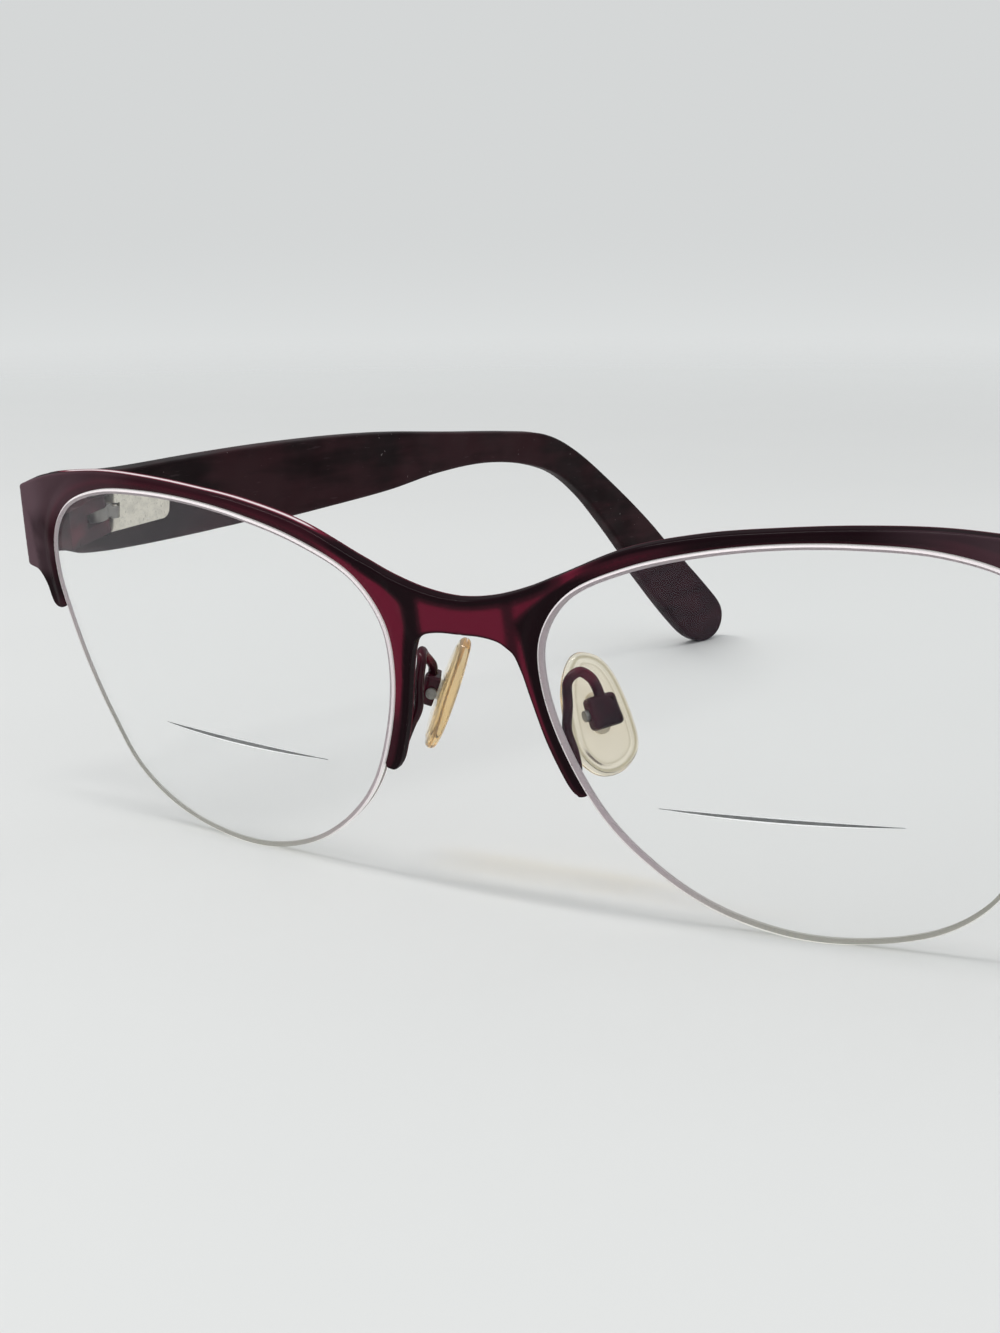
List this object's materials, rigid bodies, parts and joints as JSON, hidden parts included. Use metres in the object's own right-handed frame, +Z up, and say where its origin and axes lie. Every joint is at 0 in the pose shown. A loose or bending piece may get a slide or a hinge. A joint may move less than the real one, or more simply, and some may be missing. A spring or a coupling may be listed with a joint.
{
  "type": "cat eye eyeglasses",
  "caption": "Half-rim cat eye eyeglasses: a wine-red metal front, bifocal lenses held by nylon cord, nose pads on wire arms and dark plastic temples on sprung hinges.",
  "frame": {"origin": "middle of the footprint, on the plane that the lenses and the temple tips stand on", "axes": "+X towards the wearer's left, +Y back from the lenses towards the ears, +Z up"},
  "size_m": [0.139, 0.1506, 0.0428],
  "materials": {
    "frame_enamel": "glossy wine-red enamel over metal",
    "temple_plastic": "polished dark plum plastic",
    "bright_metal": "satin silver metal",
    "lens": "clear polished plastic",
    "pad_silicone": "translucent honey-coloured silicone",
    "nylon": "clear nylon line"
  },
  "bodies": {
    "front": {"front_frame": "frame_enamel", "lens_left": "lens", "lens_right": "lens", "rim_liner_left": "nylon", "rim_liner_right": "nylon", "nylon_cord_left": "nylon", "nylon_cord_right": "nylon", "pad_arm_left": "frame_enamel", "pad_arm_right": "frame_enamel", "pad_box_left": "frame_enamel", "pad_box_right": "frame_enamel", "pad_screw_left": "bright_metal", "pad_screw_right": "bright_metal", "hinge_block_left": "frame_enamel", "hinge_block_right": "frame_enamel"},
    "hinge_pin_left": {"hinge_screw_left": "bright_metal"},
    "slider_left": {"hinge_slider_left": "bright_metal", "spring_retainer_left": "bright_metal"},
    "temple_left": {"temple_left": "temple_plastic", "temple_core_left": "bright_metal", "hinge_housing_left": "bright_metal", "hinge_spring_left": "bright_metal"},
    "pad_left": {"nose_pad_left": "pad_silicone", "pad_insert_left": "bright_metal"},
    "hinge_pin_right": {"hinge_screw_right": "bright_metal"},
    "slider_right": {"hinge_slider_right": "bright_metal", "spring_retainer_right": "bright_metal"},
    "temple_right": {"temple_right": "temple_plastic", "temple_core_right": "bright_metal", "hinge_housing_right": "bright_metal", "hinge_spring_right": "bright_metal"},
    "pad_right": {"nose_pad_right": "pad_silicone", "pad_insert_right": "bright_metal"}
  },
  "joints": [
    {"name": "temple_flex_left", "type": "hinge", "parent": "front", "child": "hinge_pin_left", "pos_m": [0.0639, -0.05535, 0.03514], "axis": [0, 0.2502, -0.9682], "range_deg": [0, 12], "stiffness_Nm_per_rad": 0.4, "springref_deg": -5.73},
    {"name": "temple_fold_left", "type": "hinge", "parent": "hinge_pin_left", "child": "slider_left", "pos_m": [0.0639, -0.05535, 0.03514], "axis": [0, -0.2502, 0.9682], "range_deg": [0, 84]},
    {"name": "temple_slide_left", "type": "slide", "parent": "slider_left", "child": "temple_left", "axis": [-0.1541, 0.9879, -0.019], "range_m": [0, 0.001], "deforming": ["hinge_spring_left"]},
    {"name": "pad_rock_left", "type": "hinge", "parent": "front", "child": "pad_left", "pos_m": [0.01084, -0.06315, 0.02063], "axis": [0.5233, 0.8351, 0.1697], "range_deg": [-8, 8]},
    {"name": "temple_flex_right", "type": "hinge", "parent": "front", "child": "hinge_pin_right", "pos_m": [-0.0639, -0.05535, 0.03514], "axis": [0, -0.2502, 0.9682], "range_deg": [0, 12], "stiffness_Nm_per_rad": 0.4, "springref_deg": -5.73},
    {"name": "temple_fold_right", "type": "hinge", "parent": "hinge_pin_right", "child": "slider_right", "pos_m": [-0.0639, -0.05535, 0.03514], "axis": [0, 0.2502, -0.9682], "range_deg": [0, 72]},
    {"name": "temple_slide_right", "type": "slide", "parent": "slider_right", "child": "temple_right", "axis": [0.1541, 0.9879, -0.019], "range_m": [0, 0.001], "deforming": ["hinge_spring_right"]},
    {"name": "pad_rock_right", "type": "hinge", "parent": "front", "child": "pad_right", "pos_m": [-0.01084, -0.06315, 0.02063], "axis": [0.5233, -0.8351, -0.1697], "range_deg": [-8, 8]}
  ],
  "couplings": [
    {"joint": "temple_slide_left", "follows": "temple_flex_left", "m_per_rad": 0.004679},
    {"joint": "temple_slide_right", "follows": "temple_flex_right", "m_per_rad": 0.004679}
  ]
}
